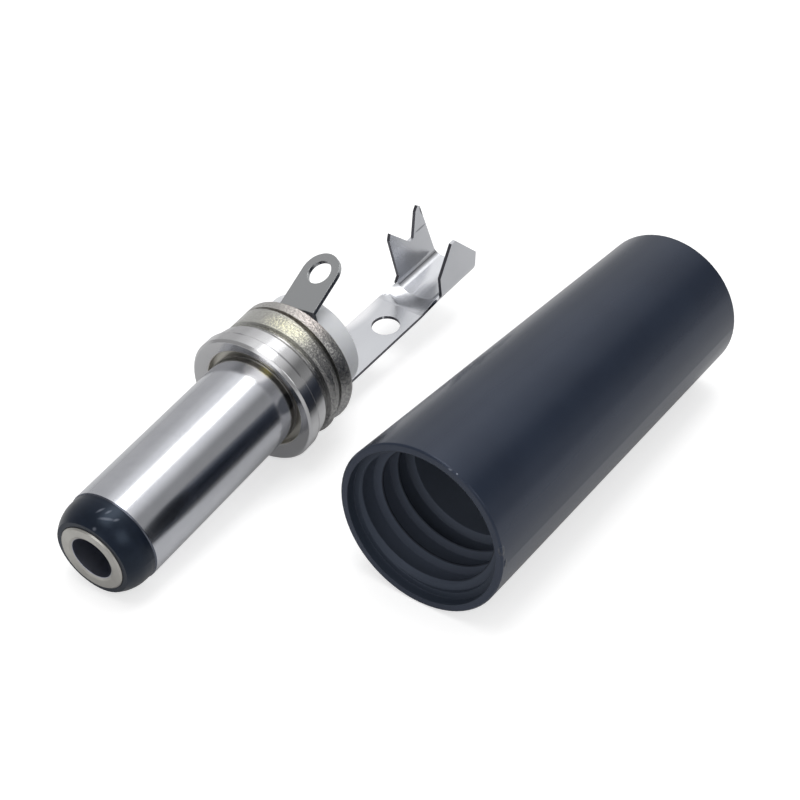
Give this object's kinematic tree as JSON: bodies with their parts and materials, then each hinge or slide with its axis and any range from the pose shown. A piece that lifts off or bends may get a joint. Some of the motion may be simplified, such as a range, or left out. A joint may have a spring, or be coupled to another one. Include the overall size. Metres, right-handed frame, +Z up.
{
  "type": "dc power plug",
  "caption": "Solder-type barrel plug with threaded body, lug and crimp tab, its black screw-on cover taken off and lying beside it.",
  "frame": {"origin": "centre of the whole set's footprint, on the ground that both pieces lie on", "axes": "+Y along the plug in plan, from its tip to its tail; +X to the right, towards the cover; +Z up"},
  "size_m": [0.0228, 0.0342, 0.0097],
  "materials": {
    "nickel_satin": "drawn brass, satin nickel plated",
    "nickel_turned": "turned brass, bright nickel plated, thread flanks a little rough and yellowish",
    "nickel_sheet": "stamped brass sheet, nickel plated",
    "black_plastic": "moulded, half gloss",
    "white_nylon": "translucent white nylon",
    "black_cover": "moulded, gloss, faint blue cast"
  },
  "bodies": {
    "root": {"outer_barrel": "nickel_satin", "threaded_body": "nickel_turned", "tip_insulator": "black_plastic", "inner_contact": "nickel_satin", "rear_insulator": "white_nylon", "short_lug": "nickel_sheet", "long_tab": "nickel_sheet", "cover": "black_cover"}
  },
  "joints": []
}
